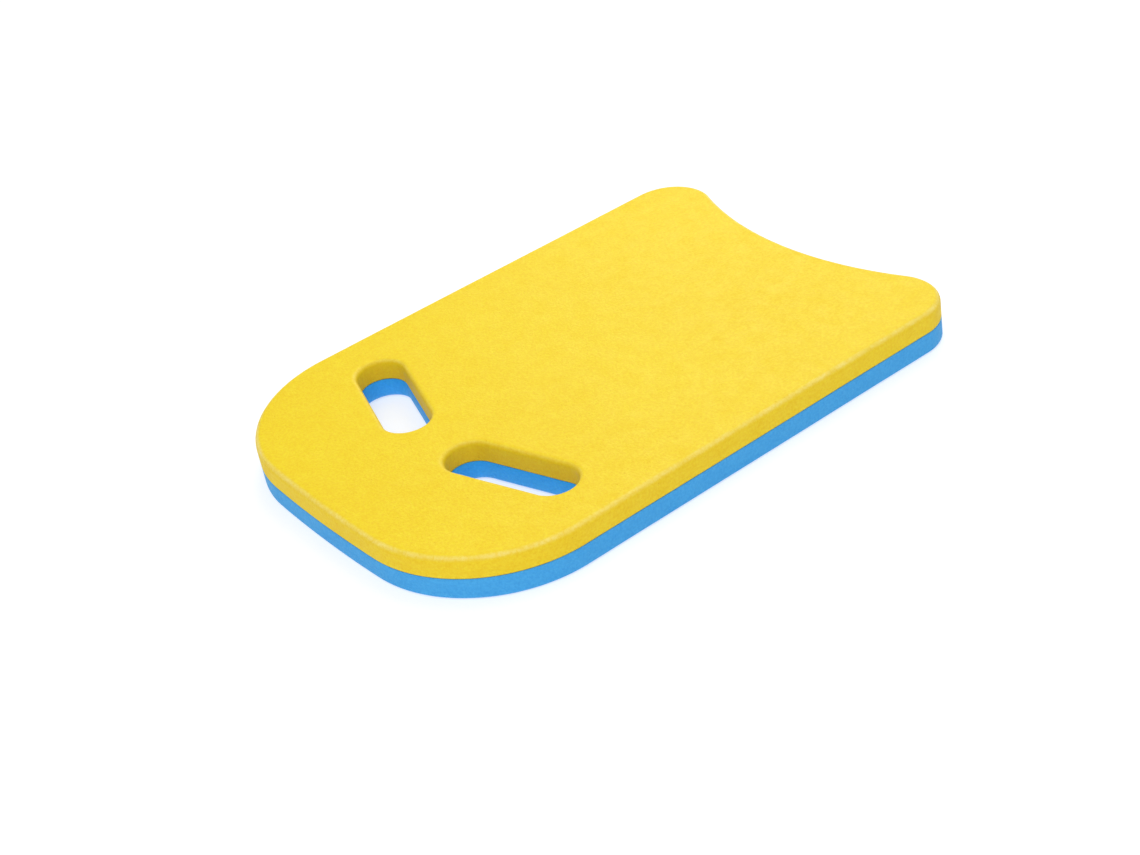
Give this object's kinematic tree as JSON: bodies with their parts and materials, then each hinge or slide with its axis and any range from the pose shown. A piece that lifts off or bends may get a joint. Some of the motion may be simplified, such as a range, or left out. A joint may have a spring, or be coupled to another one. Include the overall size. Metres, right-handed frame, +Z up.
{
  "type": "kickboard float",
  "caption": "Flat two-layer foam swimming board with a rounded nose, a hollowed tail and slanted hand slots.",
  "frame": {"origin": "middle of the underside, at the middle of the board's length and width", "axes": "+Z up out of the upper face, -Y toward the rounded nose, +Y toward the hollowed tail, +X across the board"},
  "size_m": [0.3, 0.43, 0.032],
  "materials": {
    "yellow_foam": "closed-cell foam, fine matt grain",
    "blue_foam": "closed-cell foam, fine matt grain",
    "glue": "dull contact glue"
  },
  "bodies": {
    "root": {"bottom_foam": "blue_foam", "glue_film": "glue", "top_foam": "yellow_foam"}
  },
  "joints": []
}
